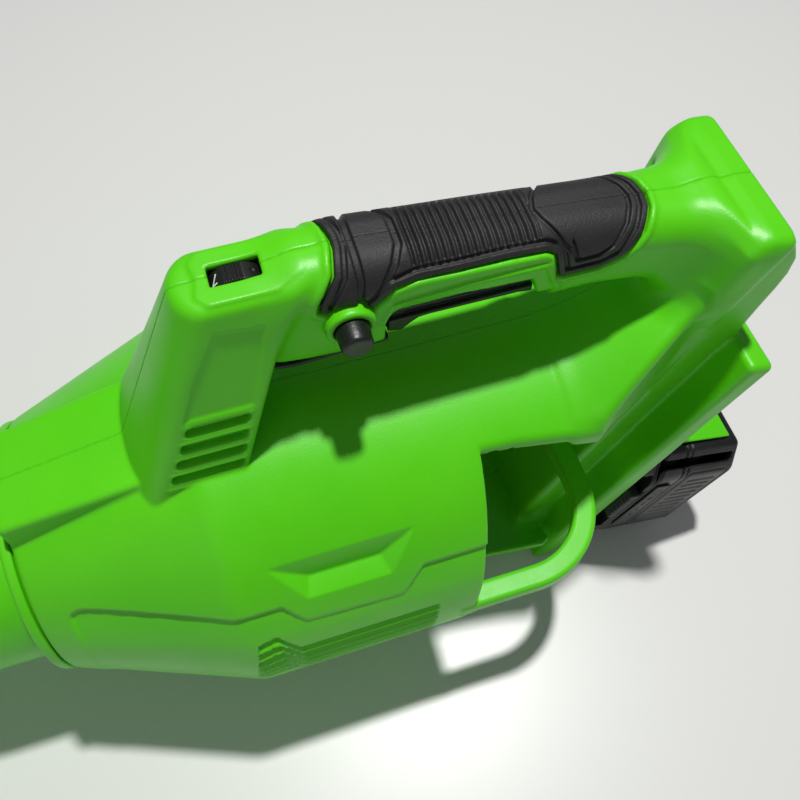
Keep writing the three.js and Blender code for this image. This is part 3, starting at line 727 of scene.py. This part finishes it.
def grip(x, y, z):
    w = girth(x, y, z)
    zone = polygon(x, w, GRIP_OUTLINE)
    inward = -zone
    groove = 1.5 * rise(-np.abs(inward - 4.0), -1.3, -0.6)
    v_cut = 1.6 * rise(-trail(x, w, V_GROOVE), -1.8, -1.0) * (inward > 4.5)
    nested = 1.5 * rise(-np.abs(inward - 8.2), -1.2, -0.5) * (x > 116)
    slant = 1.5 * rise(-trail(x, w, REAR_GROOVE), -1.2, -0.5) * (inward > 4.5)
    ribbed = rise(inward, 4.6, 5.6) * rise(x, 51, 52.5) * rise(-x, -104, -103)
    ribs = 1.7 * np.abs(np.cos(math.pi * (x - 52) / RIB)) ** 2.5 * ribbed
    sunk = np.maximum.reduce([groove, v_cut, nested, slant, ribs])
    outer = handle(x, y, z) - 0.5 + sunk
    skin_only = both(outer, -(handle(x, y, z) + GRIP_SKIN - 0.2), 0.0)
    edge = both(skin_only, zone + 0.4, 1.0)
    button = np.hypot(x - LOCK_AT[0], z - LOCK_AT[1]) - 10.7
    return both(cut(edge, button, 0.8), np.interp(x, *HANDLE_BOTTOM) + 6 - z)


for side_name, sign in (("left", -1), ("right", 1)):
    def half_grip(x, y, z, sign=sign):
        return both(grip(x, y, z), -0.12 - sign * y, 0.2)
    span = sorted((sign * -1.0, sign * 23.0))
    low_corner, high_corner = (10, span[0], 255), (158, span[1], 304)
    piece = skin("grip_" + side_name + "_cover", half_grip, low_corner, high_corner, 0.55)
    finish_piece(piece, "root", "black_rubber", "grip_" + side_name)


# ---- controls -----------------------------------------------------------------------------
PIVOT = (2, 261)                  # (x, z) of the trigger's pin
BLADE = [(44, 246), (50, 244.5), (54, 248), (57.5, 250.5), (62, 251), (101, 250.3), (108, 249),
         (110.5, 251), (110.5, 255.3), (44, 258.6)]
ARM = [(-5.5, 254), (-4, 248.2), (4, 246.6), (24, 247), (44, 247.5), (50, 249), (52, 254),
       (46, 256), (8, 264), (-3.5, 263)]
TONGUE = [(-5.5, 249.2), (-4, 246.4), (4, 244.8), (24, 246.4), (43, 247), (43, 249.8), (24, 249),
          (4, 247.6)]


def trigger(x, y, z):
    blade = polygon(x, z, BLADE)
    wide = both(thick(blade, y, 9.0, 1.2), both(z - 253.5, x - 107.5, 0.8), 0.8)
    pull = join(thick(blade, y, 6.8, 2.0), wide, 0.5)
    grooves = 0.8 * np.exp(-((np.abs(y) - 3.6) / 0.6) ** 2) * (z < 254)
    arm = thick(polygon(x, z, ARM), y, 6.8, 1.0)
    tongue = thick(polygon(x, z, TONGUE), y, 13.8, 0.9)
    solid = join(join(pull + grooves, arm, 1.0), tongue, 0.6)
    pin = np.hypot(x - PIVOT[0], z - PIVOT[1]) - 2.4
    spring = both(np.abs(y) - 1.9, both(np.abs(x - 1) - 9, 256.5 - z))
    return cut(cut(solid, pin), spring)


finish_piece(skin("trigger_lever", trigger, (-10, -17, 240), (116, 17, 268), 0.55),
             "trigger_lever", "black_plastic", "trigger")

LOCK_PROFILE = [(7, 0), (7, 2.6), (14, 2.6), (14, 6.5), (23, 6.7), (29.2, 6.35), (30.3, 6.0),
                (30.8, 5.5), (31.0, 4.8), (30.85, 3), (30.8, 0)]
button = turned("lock_off_cap", LOCK_PROFILE, (LOCK_AT[0], 0, LOCK_AT[1]), (0, -1, 0), 96)
finish_piece(button, "lock_off", "black_plastic", "lock_off_button")

DIAL = (-10.4, 284.5)             # (x, z) of the wheel's axle
FIRST_DIGIT = -37                 # degrees round the wheel
DIGIT_STEP = 120


def dial(x, y, z):
    dx, dz = x - DIAL[0], z - DIAL[1]
    angle = np.degrees(np.arctan2(dx, dz)) % 120
    angle = np.where(angle > 60, angle - 120, angle)
    ribbed = rise(-np.abs(angle + 3), -17, -15.5)
    radius = 11.6 - 0.9 * (0.5 + 0.5 * np.cos(np.radians(angle + 3) * 64)) ** 2 * ribbed
    dot = np.hypot((angle - 33) * 0.2, y) - 0.9
    radius = radius - 0.4 * rise(-dot, -0.2, 0.2)
    wheel = both(np.hypot(dx, dz) - radius, np.abs(y) - 4.2, 0.8)
    hub = both(np.hypot(dx, dz) - 1.8, both(-y, y - 7))
    return join(wheel, hub)


finish_piece(skin("dial_wheel", dial, (-24, -6, 271), (3, 9, 298), 0.35),
             "dial", "black_plastic", "speed_dial")


def digit(text, angle):
    """A printed number on the wheel's rim, read from the machine's right-hand side."""
    curve = bpy.data.curves.new("digit_" + text, "FONT")
    curve.body = text
    curve.size = 6.4 * MM
    curve.align_x = "CENTER"
    curve.align_y = "CENTER"
    curve.shear = 0.2
    maker = bpy.data.objects.new("digit_maker", curve)
    bpy.context.scene.collection.objects.link(maker)
    depsgraph = bpy.context.evaluated_depsgraph_get()
    mesh = bpy.data.meshes.new_from_object(maker.evaluated_get(depsgraph))
    bpy.data.objects.remove(maker)
    mesh.name = "dial_digit_" + text
    reach = 11.66 * MM
    for vertex in mesh.vertices:
        turn = math.radians(angle) - vertex.co.x / (11.62 * MM)
        dx, dz = reach * math.sin(turn), reach * math.cos(turn)
        vertex.co = (DIAL[0] * MM + dx, -vertex.co.y, DIAL[1] * MM + dz)
    obj = bpy.data.objects.new(mesh.name, mesh)
    bpy.context.scene.collection.objects.link(obj)
    thicken = obj.modifiers.new("thickness", "SOLIDIFY")
    thicken.thickness = 0.12 * MM
    thicken.offset = 0
    return obj


ink = Recipe("white_ink")
worn_ink = ink.span(ink.noise(600.0), 0.4, 0.6, 0.0, 1.0)
ink.feed("Base Color", ink.tint(worn_ink, (0.72, 0.72, 0.70, 1), (0.85, 0.85, 0.84, 1)))
ink.feed("Roughness", ink.span(ink.noise(900.0), 0.3, 0.7, 0.4, 0.6))
MATERIALS["ink"] = ink.material
for count, text in enumerate("741"):
    number = digit(text, FIRST_DIGIT - DIGIT_STEP * count)
    number.data.materials.append(MATERIALS["ink"])
    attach(number, "dial")


# ---- blow end -----------------------------------------------------------------------------
def rounded_tube():
    low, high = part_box("blow_tube")
    tip, rear = low.x / MM, high.x / MM
    outer = [(tip, 48.6), (tip + 0.4, 50.4), (tip + 1.4, 51.3), (tip + 3, 51.7), (tip + 6, 51.5),
             (tip + 8, 50.6), (tip + 9.5, 50.1), (-300, 53.0), (-195, 55.5), (-180, 56),
             (rear - 1, 56), (rear, 55.4)]
    inner = [(rear, 54.2), (-180, 53.8), (tip + 4, 48.0), (tip + 0.8, 47.9)]
    return turned("blow_tube_skin", outer + inner, (0, 0, AXIS_Z), (1, 0, 0), 200)


finish_piece(rounded_tube(), "tube", "green_plastic", "blow_tube")


def collar(x, y, z):
    r = np.hypot(y, z - AXIS_Z)
    ring = both(both(r - 65.6, -141.8 - x, 2.5), x + 136.6, 1.0)
    skirt = both(r - 62, both(-140 - x, x + 128.4, 0.6))
    return both(join(ring, skirt, 0.8), 56.4 - r, 0.8)


finish_piece(skin("collar_ring", collar, (-145, -70, 46), (-125, 70, 186), 0.8),
             "collar", "green_plastic", "locking_collar")


# ---- battery ------------------------------------------------------------------------------
PACK = {"bottom": 47.0, "top": 133.0, "half": 58.5}  # up the column, and half across it


def in_column(field):
    """A field written in the column's frame, as one in the row frame."""
    def placed(x, y, z):
        lx, lz = column_frame(x, z)
        return field(lx, y, lz)
    return placed


def column_span(lx, y, lz):
    """The row-frame box round a box in the column's frame, in mm."""
    corners = [from_column(a, b, c) / MM for a in lx for b in y for c in lz]
    low = [min(c[i] for c in corners) - 2 for i in range(3)]
    high = [max(c[i] for c in corners) + 2 for i in range(3)]
    return low, high


def pack_outline(y, lz, grow=0.0):
    side, middle = np.abs(y), (PACK["bottom"] + PACK["top"]) / 2
    tall = (PACK["top"] - PACK["bottom"]) / 2 + grow
    flat = rect(side, lz - middle, PACK["half"] + grow, tall, 4.0)
    chamfer = (side - 48) * 0.819 + (lz - PACK["top"]) * 0.573 - grow
    return both(flat, chamfer, 2.0)


def case(lx, y, lz):
    body = pack_outline(y, lz)
    shell = thick(body, lx - 75.2, 28.9, 2.2)
    seams = 0.9 * np.exp(-((lx - 62.5) / 0.55) ** 2) + 0.9 * np.exp(-((lx - 66.5) / 0.55) ** 2)
    side = np.abs(y)
    end_panel = rect(lx - 84, lz - 86, 15.5, 33, 3.0)
    seams = seams + 0.7 * np.exp(-(end_panel / 0.6) ** 2) * (side > 55)
    ribs = 0.8 * wave(lz - 86, 6) ** 3 * (side > 55)
    ribs = ribs * rise(-end_panel, 4, 5.5)
    top_frame = 1.0 * rise(-rect(lx - 74.5, y, 23.2, 44.7, 2.0), 0, 0.5) * (lz > 128)
    back = 1.0 * rise(-rect(y, lz - 88, 45, 28, 4.0), 0, 0.8) * (lx > 100)
    hollow = block(lx - 72, y, lz - 89.5, 28, 54, 38.5, 1.0)
    return cut(shell + seams + ribs + top_frame + back, hollow)


def rail_frame(lx, y, lz):
    side = np.abs(y)
    chamfer = (side - 48) * 0.819 + (lz - 129) * 0.573
    flat = both(rect(side, lz - 89.5, 58.3, 39.5, 3.0), chamfer, 2.0)
    base = thick(flat, lx - 39.9, 6.1, 1.2)
    channel = both(lx - 42.5, np.abs(lz - 89) - 30)
    pocket = both(np.abs(lz - 89) - 15, 50 - np.maximum(-y, 0))
    groove = 0.7 * np.exp(-((lx - 43.6) / 0.5) ** 2)
    return cut(cut(base + groove, channel, 0.6), pocket, 0.6)


def top_panel(lx, y, lz):
    tray = block(lx - 74.5, y, lz - 134, 22.4, 43.8, 0.85, 0.8)
    line = 0.3 * np.exp(-(rect(lx - 74.5, y, 19.6, 41, 2.0) / 0.4) ** 2) * (lz > 133.8)
    return tray + line


def gauge(lx, y, lz):
    plate = block(lx - 53.2, y + 59.3, lz - 86, 4.9, 0.62, 26, 0.5)
    front = -y - 59.2 > 0
    lamps = np.minimum.reduce([rect(lx - 53.2, lz - 75 - 7.2 * i, 1.3, 1.9, 0.8) for i in range(4)])
    press = np.abs(np.hypot(lx - 53.2, lz - 104.5) - 3.0)
    return plate + front * (0.5 * rise(-lamps, -0.1, 0.3) + 0.4 * np.exp(-(press / 0.45) ** 2))


def release(lx, y, lz):
    cap = block(lx - 38.2, y + 55.4, lz - 89, 3.2, 4.4, 14, 1.0)
    ribs = 0.5 * wave(lz - 89, 3.2) ** 2 * rise(-np.abs(lz - 89), -11.5, -10.5)
    return cap + ribs * (-y > 56)


def column_piece(name, field, spans, voxel, body, slot, node):
    low, high = column_span(*spans)
    return finish_piece(skin(name, in_column(field), low, high, voxel), body, slot, node)


column_piece("battery_shell", case, ((46, 105), (-60, 60), (46, 135)), 0.8,
             "battery", "black_plastic", "battery_case")
column_piece("battery_rails", rail_frame, ((33, 46.5), (-59, 59), (49, 130)), 0.7,
             "battery", "black_plastic", "battery_rail_frame")
column_piece("battery_top", top_panel, ((51, 98), (-45, 45), (132, 136)), 0.6,
             "battery", "green_plastic", "battery_top_panel")
column_piece("battery_gauge", gauge, ((47, 59), (-61, -58), (59, 113)), 0.4,
             "battery", "grey_plastic", "battery_gauge_panel")
column_piece("battery_latch", release, ((34, 42), (-61, -50), (74, 104)), 0.4,
             "battery_release", "grey_plastic", "battery_release_button")


# ---- feet ---------------------------------------------------------------------------------
def barrel_foot(x, y, z):
    saddle_cut = np.hypot(y, z - AXIS_Z) - BARREL_R - 0.3
    tread = 0.9 * wave(x, 7.5) ** 4 * (z < 6)
    return cut(block(x, y, z - 11, 45, 25, 11, 2.5) + tread * (np.abs(y) < 21), saddle_cut, 0.8)


finish_piece(skin("barrel_foot_pad", barrel_foot, (-47, -27, -2), (47, 27, 24), 0.9),
             "root", "black_rubber", "barrel_foot")


def sole(x, y, z):
    low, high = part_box("column_foot")
    cx, half = (low.x + high.x) / 2 / MM, (high.x - low.x) / 2 / MM
    tread = 0.8 * wave(y, 6) ** 4 * (z < 1)
    return block(x - cx, y, z - 1.5, half, 34, 1.5, 0.8) + tread


finish_piece(skin("column_foot_sole", sole, (105, -36, -1.5), (155, 36, 5), 0.7),
             "root", "black_rubber", "column_foot")
